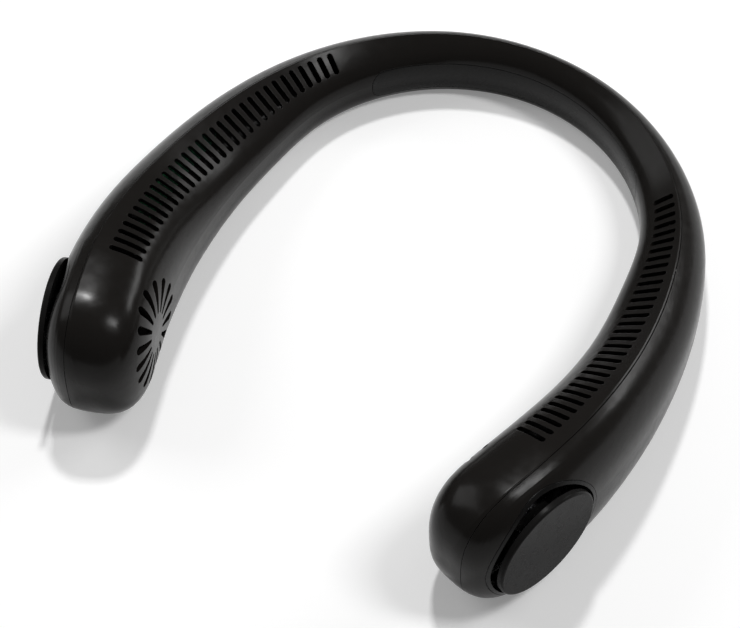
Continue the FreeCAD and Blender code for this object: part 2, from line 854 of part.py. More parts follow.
def make_pieces():
    """All pieces by name, at their places."""
    hull = skin(0.0)
    shell = hull.cut(skin(wall))
    pieces = {
        "outer_shell": make_outer_shell(shell, hull),
        "inner_shell": make_inner_shell(shell),
        "nape_cover": make_nape_cover(hull),
        "housing_screws": at_housing_screws(make_housing_screw),
    }
    blower = {
        "intake_ring": make_intake_ring(hull),
        "intake_disc": make_intake_disc(),
        "disc_screws": make_disc_screws(),
        "motor_board": make_motor_board(),
        "stator": make_stator(),
        "coils": make_coils(),
        "bearing_bush": make_bearing_bush(),
        "motor_shaft": make_motor_shaft(),
        "rotor_cup": make_rotor_cup(),
        "ring_magnet": make_ring_magnet(),
        "impeller": make_impeller(),
    }
    cell = make_battery_cell()
    baffle = make_duct_baffle()
    for name, side in (("left", -1), ("right", 1)):
        for piece, shape in blower.items():
            pieces[name + "_" + piece] = placed(shape, pod_run, side)
        pieces[name + "_battery_cell"] = placed(cell, cell_run, side)
        pieces[name + "_duct_baffle"] = baffle if side > 0 else mirrored(baffle)
    controls = {
        "control_board": make_control_board(),
        "board_screws": make_board_screws(),
        "tact_switch": make_tact_switch(),
        "power_button": make_power_button(),
        "usb_socket": make_usb_socket(),
        "light_pipe": make_light_pipe(),
    }
    for piece, shape in controls.items():
        pieces[piece] = placed(shape, board_run, -1)
    box = hull.optimalBoundingBox()
    middle = Vector(0, -(box.YMin + box.YMax) / 2, 0)
    for shape in pieces.values():
        shape.translate(middle)
    return pieces


def main():
    os.makedirs("parts", exist_ok=True)
    for name, shape in make_pieces().items():
        shape.exportStep("parts/" + name + ".step")


main()
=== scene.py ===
"""Finishes, fine pieces and a studio stage for a horseshoe neck fan: an add-on that is run as a script."""

import json
import math

import bmesh
import bpy
import numpy as np
from bpy.props import FloatProperty, FloatVectorProperty, IntProperty, PointerProperty
from mathutils import Matrix, Vector


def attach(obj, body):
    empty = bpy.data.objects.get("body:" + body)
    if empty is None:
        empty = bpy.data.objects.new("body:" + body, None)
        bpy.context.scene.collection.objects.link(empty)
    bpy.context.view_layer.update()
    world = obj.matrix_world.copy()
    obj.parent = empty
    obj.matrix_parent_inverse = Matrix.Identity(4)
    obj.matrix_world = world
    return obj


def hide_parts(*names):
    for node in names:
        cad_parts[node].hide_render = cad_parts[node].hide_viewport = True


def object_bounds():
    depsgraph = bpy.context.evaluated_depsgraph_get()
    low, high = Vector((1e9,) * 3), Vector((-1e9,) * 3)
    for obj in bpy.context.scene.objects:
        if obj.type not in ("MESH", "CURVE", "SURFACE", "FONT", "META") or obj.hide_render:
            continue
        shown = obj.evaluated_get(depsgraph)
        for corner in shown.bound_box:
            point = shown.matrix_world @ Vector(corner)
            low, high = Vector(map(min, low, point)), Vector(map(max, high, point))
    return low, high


bl_info = {
    "name": "Neck Fan Finishes",
    "version": (1, 0, 0),
    "blender": (4, 5, 0),
    "location": "View3D > Sidebar > Neck Fan",
    "description": "Dresses the neck fan's pieces, winds its coils and sets up a studio stage",
    "category": "Object",
}

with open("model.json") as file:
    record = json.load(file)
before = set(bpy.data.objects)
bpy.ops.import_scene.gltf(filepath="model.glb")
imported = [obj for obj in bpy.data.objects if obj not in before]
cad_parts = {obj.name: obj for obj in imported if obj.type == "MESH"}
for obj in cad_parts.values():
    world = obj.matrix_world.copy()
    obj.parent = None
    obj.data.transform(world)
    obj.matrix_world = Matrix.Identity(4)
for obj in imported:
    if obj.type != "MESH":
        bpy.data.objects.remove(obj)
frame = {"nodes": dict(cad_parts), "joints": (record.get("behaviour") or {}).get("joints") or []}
CAD_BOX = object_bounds()
NODES = frame["nodes"]
JOINTS = {joint["name"]: joint for joint in frame["joints"]}
SIDES = ("left", "right")
UP = Vector((0, 0, 1))

# Lengths are metres
MILLIMETRE = 0.001
MERGE_DISTANCE = 0.001 * MILLIMETRE
MEASURE_TOLERANCE = 0.02 * MILLIMETRE

# Run-out of the housing's skin into a nose: reach of a pod round its middle, where the nose starts ahead of
# that middle, how far back the run-out begins, how much its shading leans for each metre back, the greatest
# lean of a face that counts as skin, and the shortest normal that is divided by
POD_REACH = 45.0 * MILLIMETRE
NOSE_START = 4.0 * MILLIMETRE
RUN_OUT = 9.0 * MILLIMETRE
RUN_OUT_RISE = 3.8
RUN_OUT_SLANT = 0.2
SHORTEST_NORMAL = 1e-9

# Motors: teeth of a stator, share of its room that the wire fills, so that turns don't touch, and steps of
# its bend at a corner
STATOR_TEETH = 6
WIRE_FILL = 0.98
BEND_STEPS = 3

# Screws: rows of faces in a turn of thread, where the shank starts, as a share of the head's height, and the
# tip's share of the shank's radius
ROWS_PER_TURN = 6
SHANK_START = 0.8
TIP_SHARE = 0.4

# Finishes: usual level of a moulding's sheen, range that a noise is taken to run over, samples of a rounded
# edge, and spacing of a board's tracks, with the share of it on each side of a track's middle
SHEEN = 0.11
NOISE_LOW = 0.3
NOISE_HIGH = 0.7
EDGE_SAMPLES = 8
TRACK_SPACING = 1.6 * MILLIMETRE
TRACK_SHARE = 0.08

# Stage
FLOOR_GAP = 0.02 * MILLIMETRE
LAMP_AIM = (0.0, 0.0, 0.02)
IMAGE_WIDTH = 740
SENSOR_WIDTH = 36.0


# Sizes and colours that a user would change

def colour_setting(label, words, default):
    return FloatVectorProperty(
        name=label, description=words, default=default, size=3, subtype="COLOR", min=0.0, max=1.0)


def share_setting(label, words, default):
    return FloatProperty(name=label, description=words, default=default, min=0.0, max=1.0, subtype="FACTOR")


def length_setting(label, words, default):
    return FloatProperty(name=label, description=words, default=default, min=0.0, unit="LENGTH", precision=5)


def angle_setting(label, words, degrees):
    return FloatProperty(name=label, description=words, default=math.radians(degrees), unit="ROTATION")


class FanFinish(bpy.types.PropertyGroup):
    """Colours and surface of the mouldings."""

    housing_colour: colour_setting("Housing", "Colour of both housing shells", (0.0098, 0.0088, 0.008))
    cover_colour: colour_setting("Nape cover", "Colour of the cover at the nape", (0.0092, 0.0088, 0.0085))
    ring_colour: colour_setting("Intake ring", "Colour of each intake ring", (0.007, 0.0068, 0.0066))
    disc_colour: colour_setting("Intake disc", "Colour of each intake disc", (0.01, 0.0096, 0.0094))
    wheel_colour: colour_setting("Blower wheel", "Colour of both blower wheels", (0.02, 0.02, 0.021))
    baffle_colour: colour_setting("Duct baffle", "Colour of both duct baffles", (0.03, 0.03, 0.031))
    switch_colour: colour_setting("Switch", "Colour of the switch under the button", (0.03, 0.03, 0.032))
    button_colour: colour_setting("Power button", "Colour of the power button", (0.016, 0.016, 0.0165))
    housing_roughness: share_setting("Housing roughness", "Mean roughness of the housing", 0.22)
    cover_roughness: share_setting("Cover roughness", "Mean roughness of the nape cover", 0.26)
    disc_roughness: share_setting("Disc roughness", "Mean roughness of the intake discs", 0.26)
    disc_sheen: share_setting("Disc sheen", "Level of the intake discs' sheen", 0.03)
    disc_grain_share: share_setting("Disc grain", "Share of the grain's height that the discs have", 0.12)
    grain_size: length_setting("Grain size", "Width of one grain of the moulded texture", 0.22 * MILLIMETRE)
    grain_height: length_setting("Grain height", "Height of the moulded texture", 0.004 * MILLIMETRE)
    edge_radius: length_setting("Edge radius", "Rounding of moulded edges", 0.22 * MILLIMETRE)


class FanWinding(bpy.types.PropertyGroup):
    """Copper wire round the teeth of each motor."""

    wire_radius: length_setting("Wire radius", "Radius of the enamelled wire", 0.16 * MILLIMETRE)
    corner_radius: length_setting("Corner radius", "Bend of the wire at a tooth's corners", 0.5 * MILLIMETRE)
    wire_sides: IntProperty(name="Wire sides", description="Sides of the wire's section", default=8, min=3)


class FanScrews(bpy.types.PropertyGroup):
    """Recess and thread of all screws, as shares of each screw's own head and shank."""

    thread_pitch: length_setting("Thread pitch", "Distance between two turns of the thread", 0.5 * MILLIMETRE)
    thread_share: share_setting("Thread depth", "Depth of the thread, by the shank's radius", 0.22)
    recess_width_share: share_setting("Recess width", "Width of the cross, by the head's radius", 0.3)
    recess_depth_share: share_setting("Recess depth", "Depth of the cross, by the head's height", 0.6)
    recess_reach_share: share_setting("Recess reach", "Reach of the cross, by the head's radius", 0.62)
    sides: IntProperty(name="Sides", description="Sides of each round form", default=24, min=8)


class FanStage(bpy.types.PropertyGroup):
    """Camera, room light and floor."""

    azimuth: angle_setting("Azimuth", "Camera's turn about the fan", 30.79)
    elevation: angle_setting("Elevation", "Camera's height above the floor", 54.93)
    roll: angle_setting("Roll", "Camera's turn about its own axis", -2.24)
    distance: length_setting("Distance", "From the camera to its aim", 0.8146)
    aim: FloatVectorProperty(
        name="Aim", description="Point that the camera looks at", default=(0.00023, -0.02914, 0.02432),
        unit="LENGTH", precision=5)
    focal_pixels: FloatProperty(
        name="Focal length", description="Focal length, in pixels of the frame", default=2625.8,
        subtype="PIXEL")
    floor_colour: colour_setting("Floor", "Colour of the floor", (0.9, 0.9, 0.9))
    floor_lift: share_setting("Floor lift", "Light that the floor adds where it is seen", 0.2)
    floor_size: length_setting("Floor size", "Side of the square floor", 8.0)
    world_level: FloatProperty(
        name="Room light", description="Level of the light from all round", default=0.115, min=0.0)


# Tools for objects and materials

def add_object(name, data):
    """A new object at the origin of the scene."""
    thing = bpy.data.objects.new(name, data)
    bpy.context.scene.collection.objects.link(thing)
    return thing


def both(*pieces):
    return [side + "_" + piece for side in SIDES for piece in pieces]


def paint(mesh, material):
    mesh.materials.clear()
    mesh.materials.append(material)


def dress(material, *nodes):
    """Give CAD nodes one finish."""
    for node in nodes:
        paint(NODES[node].data, material)


def scaled(colour, factor):
    return tuple(min(1.0, channel * factor) for channel in colour)


class Shader:
    """A new material with its principled shader, and short ways to add nodes to it."""

    def __init__(self, name):
        self.material = bpy.data.materials.new(name)
        self.material.use_nodes = True
        self.tree = self.material.node_tree
        self.surface = self.tree.nodes["Principled BSDF"].inputs
        self.place = self.add("ShaderNodeTexCoord").outputs["Object"]

    def add(self, kind, **settings):
        node = self.tree.nodes.new(kind)
        for name, value in settings.items():
            setattr(node, name, value)
        return node

    def join(self, output, target):
        self.tree.links.new(output, target)

    def feed(self, **outputs):
        """Wire nodes to the shader's sockets, by name."""
        for name, output in outputs.items():
            self.join(output, self.surface[name.replace("_", " ")])

    def fix(self, **values):
        """Set sockets that are the same all over the surface."""
        for name, value in values.items():
            self.surface[name.replace("_", " ")].default_value = value

    def noise(self, size, detail):
        """Noise whose features are about as wide as size."""
        node = self.add("ShaderNodeTexNoise")
        node.inputs["Scale"].default_value = 1 / size
        node.inputs["Detail"].default_value = detail
        self.join(self.place, node.inputs["Vector"])
        return node.outputs["Fac"]

    def math(self, operation, first, second):
        """One step of arithmetic on an output and a second output or number."""
        node = self.add("ShaderNodeMath", operation=operation)
        self.join(first, node.inputs[0])
        if isinstance(second, bpy.types.NodeSocket):
            self.join(second, node.inputs[1])
        else:
            node.inputs[1].default_value = second
        return node.outputs["Value"]

    def spread(self, noise, low, high):
        """A number that runs from low to high with a noise."""
        node = self.add("ShaderNodeMapRange")
        node.inputs["From Min"].default_value = NOISE_LOW
        node.inputs["From Max"].default_value = NOISE_HIGH
        node.inputs["To Min"].default_value = low
        node.inputs["To Max"].default_value = high
        self.join(noise, node.inputs["Value"])
        return node.outputs["Result"]

    def tones(self, factor, dark, light):
        """A colour that runs between two tones with a factor."""
        node = self.add("ShaderNodeMix", data_type="RGBA")
        colours = [socket for socket in node.inputs if socket.type == "RGBA"]
        colours[0].default_value = (*dark, 1.0)
        colours[1].default_value = (*light, 1.0)
        self.join(factor, node.inputs["Factor"])
        return next(socket for socket in node.outputs if socket.type == "RGBA")

    def bump(self, relief, height, edge_radius=0.0):
        """Surface relief of a given height, on top of rounded edges."""
        node = self.add("ShaderNodeBump")
        node.inputs["Distance"].default_value = height
        self.join(relief, node.inputs["Height"])
        if edge_radius:
            edges = self.add("ShaderNodeBevel", samples=EDGE_SAMPLES)
            edges.inputs["Radius"].default_value = edge_radius
            self.join(edges.outputs["Normal"], node.inputs["Normal"])
        self.feed(Normal=node.outputs["Normal"])


# Finishes

def moulded_plastic(finish, name, colour, roughness, sheen=SHEEN, grain_share=1.0):
    """Injection-moulded plastic: an even grain, slow changes of tone and faint handling marks."""
    look = Shader(name)
    slow = look.noise(size=28 * MILLIMETRE, detail=3.0)
    marks = look.noise(size=3.2 * MILLIMETRE, detail=4.0)
    grain = look.noise(finish.grain_size, detail=1.0)
    look.feed(
        Base_Color=look.tones(slow, dark=scaled(colour, 0.88), light=scaled(colour, 1.14)),
        Roughness=look.spread(marks, low=roughness - 0.035, high=roughness + 0.035))
    look.bump(grain, finish.grain_height * grain_share, finish.edge_radius)
    look.fix(Specular_IOR_Level=sheen)
    return look.material


def turned_metal(name, colour, roughness):
    """Metal with fine tool marks."""
    look = Shader(name)
    marks = look.noise(size=0.35 * MILLIMETRE, detail=3.0)
    look.feed(
        Base_Color=look.tones(marks, dark=scaled(colour, 0.85), light=scaled(colour, 1.1)),
        Roughness=look.spread(marks, low=roughness - 0.06, high=roughness + 0.06))
    look.bump(marks, height=0.003 * MILLIMETRE)
    look.fix(Metallic=1.0)
    return look.material


def lacquered_board(name):
    """Circuit board: green lacquer over copper tracks."""
    look = Shader(name)
    cells = look.add("ShaderNodeTexVoronoi", feature="DISTANCE_TO_EDGE", distance="MANHATTAN")
    cells.inputs["Scale"].default_value = 1 / TRACK_SPACING
    look.join(look.place, cells.inputs["Vector"])
    tracks = look.math("LESS_THAN", cells.outputs["Distance"], TRACK_SHARE)
    look.feed(Base_Color=look.tones(tracks, dark=(0.006, 0.05, 0.024), light=(0.02, 0.12, 0.05)))
    look.bump(tracks, height=0.02 * MILLIMETRE)
    look.fix(Roughness=0.32)
    return look.material


def foil_pouch(name):
    """Battery pouch: laminated foil with shallow creases."""
    look = Shader(name)
    creases = look.noise(size=5 * MILLIMETRE, detail=5.0)
    look.feed(
        Base_Color=look.tones(creases, dark=(0.48, 0.49, 0.5), light=(0.66, 0.67, 0.68)),
        Roughness=look.spread(creases, low=0.28, high=0.42))
    look.bump(creases, height=0.12 * MILLIMETRE)
    look.fix(Metallic=0.85)
    return look.material


def frosted_clear(name):
    """Clear plastic with a frosted skin, for the light pipe."""
    look = Shader(name)
    frost = look.noise(size=0.12 * MILLIMETRE, detail=2.0)
    look.feed(
        Base_Color=look.tones(frost, dark=(0.7, 0.72, 0.74), light=(0.84, 0.86, 0.88)),
        Roughness=look.spread(frost, low=0.35, high=0.5))
    look.bump(frost, height=0.004 * MILLIMETRE)
    look.fix(Transmission_Weight=0.6, IOR=1.49)
    return look.material


def enamelled_wire(name):
    """Copper wire under clear enamel."""
    look = Shader(name)
    tint = look.noise(size=0.6 * MILLIMETRE, detail=2.0)
    look.feed(
        Base_Color=look.tones(tint, dark=(0.45, 0.14, 0.04), light=(0.62, 0.24, 0.08)),
        Roughness=look.spread(tint, low=0.22, high=0.34))
    look.fix(Metallic=1.0, Coat_Weight=0.6, Coat_Roughness=0.1)
    return look.material


def floor_paper(stage):
    """White paper that adds a little light where the camera sees it, directly or in a reflection."""
    look = Shader("floor_paper")
    tooth = look.noise(size=1.5 * MILLIMETRE, detail=2.0)
    rays = look.add("ShaderNodeLightPath").outputs
    seen = look.math("ADD", rays["Is Camera Ray"], rays["Is Glossy Ray"])
    seen = look.math("ADD", seen, rays["Is Transmission Ray"])
    look.feed(
        Base_Color=look.tones(tooth, dark=scaled(stage.floor_colour, 0.99), light=stage.floor_colour),
        Emission_Strength=look.math("MULTIPLY", seen, stage.floor_lift))
    look.fix(Roughness=0.9, Specular_IOR_Level=0.1, Emission_Color=(1.0, 1.0, 1.0, 1.0))
    return look.material


# Shading of the housing

def merged_copy(node, name):
    """A copy of a CAD node with its triangles joined, and the CAD normals at its corners."""
    mesh = NODES[node].data.copy()
    mesh.name = name
    work = bmesh.new()
    work.from_mesh(mesh)
    layer = work.loops.layers.float_vector.new("cad_normal")
    corners = iter(mesh.corner_normals)
    for face in work.faces:
        for loop in face.loops:
            loop[layer] = next(corners).vector
    bmesh.ops.remove_doubles(work, verts=work.verts, dist=MERGE_DISTANCE)
    work.to_mesh(mesh)
    work.free()
    normals = np.empty(len(mesh.loops) * 3, np.float32)
    mesh.attributes["cad_normal"].data.foreach_get("vector", normals)
    mesh.attributes.remove(mesh.attributes["cad_normal"])
    return mesh, normals.reshape(-1, 3)


def corner_points(mesh):
    """Place of each corner of a mesh's faces."""
    vertices = np.empty(len(mesh.loops), np.int32)
    mesh.loops.foreach_get("vertex_index", vertices)
    points = np.empty(len(mesh.vertices) * 3, np.float32)
    mesh.vertices.foreach_get("co", points)
    return points.reshape(-1, 3)[vertices]


def nose_of(side):
    """Middle of a pod, and the direction in which its nose points."""
    joint = JOINTS[side + "_blower_spin"]
    ahead = UP.cross(Vector(joint["axis"]).normalized())
    return np.array(joint["pos_m"]), np.array(ahead if ahead.y < 0 else -ahead)


def smooth_moulding(node, material):
    """A copy of a housing shell that shades level just before each nose, so that no crease shows there."""
    mesh, normals = merged_copy(node, node + "_smooth")
    points = corner_points(mesh)
    for side in SIDES:
        pod, ahead = nose_of(side)
        offset = points - pod
        along = offset @ ahead - NOSE_START
        slant = normals @ ahead
        skin = (abs(slant) < RUN_OUT_SLANT) & (np.linalg.norm(offset, axis=1) < POD_REACH)
        run_out = skin & (along > -RUN_OUT) & (along < MERGE_DISTANCE)
        level = RUN_OUT_RISE * along * np.maximum(normals[:, 2], 0)
        normals[run_out] += np.outer(level - slant, ahead)[run_out]
    normals /= np.maximum(np.linalg.norm(normals, axis=1, keepdims=True), SHORTEST_NORMAL)
    mesh.normals_split_custom_set(normals.tolist())
    paint(mesh, material)
    piece = add_object(node + "_smooth", mesh)
    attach(piece, "housing")
    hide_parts(node)


# Where each motor is, read from the frame

def motor_frame(side):
    """Placement of one blower: X up, Z outward along its axis."""
    joint = JOINTS[side + "_blower_spin"]
    out = Vector(joint["axis"]).normalized()
    turn = Matrix((UP, out.cross(UP), out)).transposed().to_4x4()
    return Matrix.Translation(Vector(joint["pos_m"])) @ turn


def motor_points(node, placement):
    """Points of a node, as seen from its motor."""
    back = placement.inverted()
    return [back @ vertex.co for vertex in NODES[node].data.vertices]


def motor_span(points):
    """Lowest and highest level along the motor's axis, and least and greatest radius."""
    levels = [point.z for point in points]
    radii = [math.hypot(point.x, point.y) for point in points]
    return min(levels), max(levels), min(radii), max(radii)


def coil_width(points):
    """Width of one coil across its tooth, from the coil on the motor's X axis."""
    half_sector = math.pi / STATOR_TEETH
    across = [point.y for point in points if point.x > 0 and abs(point.y) < point.x * math.tan(half_sector)]
    return max(across) - min(across)


# Where each screw is, read from the frame

def solids_of(node):
    """Points of each separate solid of a node."""
    mesh, _ = merged_copy(node, node + "_solids")
    work = bmesh.new()
    work.from_mesh(mesh)
    bpy.data.meshes.remove(mesh)
    taken = set()
    solids = []
    for first in work.verts:
        if first in taken:
            continue
        taken.add(first)
        reached = [first]
        for vertex in reached:
            beside = [edge.other_vert(vertex) for edge in vertex.link_edges]
            beside = [other for other in beside if other not in taken]
            taken.update(beside)
            reached.extend(beside)
        solids.append(np.array([vertex.co for vertex in reached]))
    work.free()
    return solids


def measure_screw(points):
    """Place of a screw's head, its axis towards the tip, and its sizes in millimetres."""
    middle = points.mean(axis=0)
    axis = np.linalg.eigh(np.cov((points - middle).T))[1][:, -1]
    level = (points - middle) @ axis
    radius = np.linalg.norm(points - middle - np.outer(level, axis), axis=1)
    if level[radius.argmax()] > 0:
        axis, level = -axis, -level
    height = level - level.min()
    shank = radius[height > height.max() - MEASURE_TOLERANCE].max()
    head_height = height[abs(radius - shank) < MEASURE_TOLERANCE].min()
    under_head = abs(height - head_height) < MEASURE_TOLERANCE
    sizes = {
        "Head_Radius": radius.max(), "Under_Radius": radius[under_head].max(), "Head_Height": head_height,
        "Shank_Radius": shank, "Length": height.max()}
    sizes = {label: float(size) / MILLIMETRE for label, size in sizes.items()}
    return middle + axis * level.min(), axis, sizes


# Node trees

class Tree:
    """A geometry node tree that may run on points with axes, with named inputs."""

    def __init__(self, name, lengths, counts):
        self.tree = bpy.data.node_groups.new(name, "GeometryNodeTree")
        interface = self.tree.interface
        interface.new_socket("Geometry", in_out="OUTPUT", socket_type="NodeSocketGeometry")
        interface.new_socket("Points", in_out="INPUT", socket_type="NodeSocketGeometry")
        kinds = dict.fromkeys(lengths, "NodeSocketFloat")
        kinds.update(dict.fromkeys(counts, "NodeSocketInt"))
        kinds["Finish"] = "NodeSocketMaterial"
        self.sockets = {}
        for label, kind in kinds.items():
            self.sockets[label] = interface.new_socket(label, in_out="INPUT", socket_type=kind)
        self.source = self.tree.nodes.new("NodeGroupInput")
        self.sink = self.tree.nodes.new("NodeGroupOutput")

    def value(self, label):
        return self.source.outputs[label]

    def values(self, *labels):
        return [self.value(label) for label in labels]

    def add(self, kind, settings=None, **wires):
        """Add a node, set its properties, wire or set its inputs by name, and return its first output."""
        node = self.tree.nodes.new(kind if "Node" in kind else "GeometryNode" + kind)
        for name, value in (settings or {}).items():
            setattr(node, name, value)
        for name, value in wires.items():
            self.supply(node.inputs[name.replace("_", " ")], value)
        return node.outputs[0]

    def supply(self, socket, value):
        """Wire an output to a socket, or set the socket."""
        if isinstance(value, bpy.types.NodeSocket):
            self.tree.links.new(value, socket)
        else:
            socket.default_value = value

    def math(self, operation, first, second):
        result = self.add("ShaderNodeMath", {"operation": operation})
        self.supply(result.node.inputs[0], first)
        self.supply(result.node.inputs[1], second)
        return result

    def plus(self, first, second):
        return self.math("ADD", first, second)

    def minus(self, first, second):
        return self.math("SUBTRACT", first, second)

    def times(self, first, second):
        return self.math("MULTIPLY", first, second)

    def over(self, first, second):
        return self.math("DIVIDE", first, second)

    def vector(self, x=0.0, y=0.0, z=0.0):
        return self.add("ShaderNodeCombineXYZ", X=x, Y=y, Z=z)

    def boolean(self, operation, parts, tools):
        """A boolean that keeps closed forms closed."""
        result = self.add("MeshBoolean", {"operation": operation, "solver": "MANIFOLD"})
        for part in parts:
            self.supply(result.node.inputs["Mesh 1"], part)
        for tool in tools:
            self.supply(result.node.inputs["Mesh 2"], tool)
        return result

    def fused(self, *parts):
        """One closed form from several that overlap."""
        return self.boolean("UNION", (), parts)

    def cut(self, part, *tools):
        """A form with others cut out of it."""
        return self.boolean("DIFFERENCE", (part,), tools)

    def finish(self, geometry):
        """Close the tree: real geometry with its material."""
        real = self.add("RealizeInstances", Geometry=geometry)
        painted = self.add("SetMaterial", Geometry=real, Material=self.value("Finish"))
        self.supply(self.sink.inputs["Geometry"], painted)

    def make(self, name, places=(), axes=(), **values):
        """Run the tree and return its result as a plain object at the origin."""
        points = bpy.data.meshes.new(name + "_tree")
        points.from_pydata(places, [], [])
        points.attributes.new("axis", "FLOAT_VECTOR", "POINT")
        for row, axis in zip(points.attributes["axis"].data, axes):
            row.vector = axis
        holder = add_object(name + "_tree", points)
        modifier = holder.modifiers.new("tree", "NODES")
        modifier.node_group = self.tree
        for label, value in values.items():
            modifier[self.sockets[label].identifier] = value
        graph = bpy.context.evaluated_depsgraph_get()
        mesh = bpy.data.meshes.new_from_object(holder.evaluated_get(graph), depsgraph=graph)
        bpy.data.objects.remove(holder)
        bpy.data.meshes.remove(points)
        return add_object(name, mesh)


def winding_tree():
    """Turns of wire round each tooth of a stator, which stands along Z with its first tooth along X."""
    t = Tree(
        "Motor winding", lengths=("Pitch", "First", "Loop_Width", "Loop_Height", "Middle", "Wire", "Corner"),
        counts=("Turns", "Sides", "Teeth"))
    outline = t.add("CurvePrimitiveQuadrilateral", Width=t.value("Loop_Height"), Height=t.value("Loop_Width"))
    loop = t.add("FilletCurve", {"mode": "POLY"}, Curve=outline, Count=BEND_STEPS, Radius=t.value("Corner"))
    profile = t.add("CurvePrimitiveCircle", Resolution=t.value("Sides"), Radius=t.value("Wire"))
    turn = t.add("CurveToMesh", Curve=loop, Profile_Curve=profile)
    upright = t.add("Transform", Geometry=turn, Rotation=(0.0, math.pi / 2, 0.0))
    smooth = t.add("SetShadeSmooth", Geometry=upright)
    first_place = t.vector(x=t.value("First"), z=t.value("Middle"))
    places = t.add(
        "MeshLine", Count=t.value("Turns"), Start_Location=first_place, Offset=t.vector(x=t.value("Pitch")))
    coil = t.add("InstanceOnPoints", Points=places, Instance=smooth)
    teeth = t.add("Points", Count=t.value("Teeth"))
    angle = t.times(t.add("InputIndex"), t.over(2 * math.pi, t.value("Teeth")))
    t.finish(t.add("InstanceOnPoints", Points=teeth, Instance=coil, Rotation=t.vector(z=angle)))
    return t


def threaded_rod(t, start):
    """A closed rod from a level to the screw's end, whose skin waves along a helix and tapers to its tip."""
    radius, pitch, end = t.values("Shank_Radius", "Pitch", "Length")
    length = t.minus(end, start)
    rows = t.times(t.over(length, pitch), ROWS_PER_TURN)
    rod = t.add("MeshCylinder", Vertices=t.value("Sides"), Side_Segments=rows, Radius=radius, Depth=length)
    middle = t.plus(start, t.times(length, 0.5))
    rod = t.add("Transform", Geometry=rod, Translation=t.vector(z=middle))
    x, y, z = t.add("ShaderNodeSeparateXYZ", Vector=t.add("InputPosition")).node.outputs
    turns = t.over(t.math("ARCTAN2", y, x), 2 * math.pi)
    wave = t.math("PINGPONG", t.minus(t.over(z, pitch), turns), 0.5)
    groove = t.over(t.times(t.times(wave, 2.0), t.value("Thread_Depth")), radius)
    from_tip = t.over(t.minus(end, z), radius)
    taper = t.math("MINIMUM", t.plus(t.times(from_tip, 1 - TIP_SHARE), TIP_SHARE), 1.0)
    reach = t.times(t.minus(1.0, groove), taper)
    return t.add("SetPosition", Geometry=rod, Position=t.vector(t.times(x, reach), t.times(y, reach), z))


def screw_tree():
    """Cross-head screws: one at each point, with its head's face on the point and its tip along the axis.

    Sizes are in millimetres, so that the booleans work on forms that aren't tiny.
    """
    t = Tree(
        "Cross-head screws", lengths=(
            "Head_Radius", "Under_Radius", "Head_Height", "Shank_Radius", "Length", "Pitch", "Thread_Depth",
            "Recess_Reach", "Recess_Width", "Recess_Depth"),
        counts=("Sides",))
    head = t.add(
        "MeshCone", Vertices=t.value("Sides"), Radius_Top=t.value("Under_Radius"),
        Radius_Bottom=t.value("Head_Radius"), Depth=t.value("Head_Height"))
    shank = threaded_rod(t, t.times(t.value("Head_Height"), SHANK_START))
    reach, width, depth = t.values("Recess_Reach", "Recess_Width", "Recess_Depth")
    bar = t.add("MeshCube", Size=t.vector(t.times(reach, 2.0), width, t.times(depth, 2.0)))
    crossing = t.add("Transform", Geometry=bar, Rotation=(0.0, 0.0, math.pi / 2))
    screw = t.cut(t.fused(head, shank), bar, crossing)
    axis = t.add("InputNamedAttribute", {"data_type": "FLOAT_VECTOR"}, Name="axis")
    turn = t.add("FunctionNodeAlignRotationToVector", {"axis": "Z"}, Vector=axis)
    t.finish(t.add(
        "InstanceOnPoints", Points=t.value("Points"), Instance=screw, Rotation=turn, Scale=(MILLIMETRE,) * 3))
    return t


# Operators, one for each piece or group of like pieces

class DressHousing(bpy.types.Operator):
    """Finish both housing shells, the nape cover and the duct baffles"""

    bl_idname = "neck_fan.dress_housing"
    bl_label = "Dress Housing"

    def execute(self, context):
        finish = context.scene.fan_finish
        shell = moulded_plastic(finish, "housing_plastic", finish.housing_colour, finish.housing_roughness)
        for node in ("outer_shell", "inner_shell"):
            smooth_moulding(node, shell)
        cover = moulded_plastic(finish, "nape_cover_plastic", finish.cover_colour, finish.cover_roughness)
        dress(cover, "nape_cover")
        baffle = moulded_plastic(finish, "baffle_plastic", finish.baffle_colour, roughness=0.5)
        dress(baffle, *both("duct_baffle"))
        return {"FINISHED"}


class DressIntakes(bpy.types.Operator):
    """Finish the intake rings and discs"""

    bl_idname = "neck_fan.dress_intakes"
    bl_label = "Dress Intakes"

    def execute(self, context):
        finish = context.scene.fan_finish
        ring = moulded_plastic(finish, "intake_ring_plastic", finish.ring_colour, roughness=0.26)
        dress(ring, *both("intake_ring"))
        disc = moulded_plastic(
            finish, "intake_disc_plastic", finish.disc_colour, finish.disc_roughness, finish.disc_sheen,
            finish.disc_grain_share)
        dress(disc, *both("intake_disc"))
        return {"FINISHED"}


class DressBlowers(bpy.types.Operator):
    """Finish the blower wheels"""

    bl_idname = "neck_fan.dress_blowers"
    bl_label = "Dress Blowers"

    def execute(self, context):
        finish = context.scene.fan_finish
        wheel = moulded_plastic(
            finish, "blower_wheel_plastic", finish.wheel_colour, roughness=0.28, sheen=0.5)
        dress(wheel, *both("impeller"))
        return {"FINISHED"}


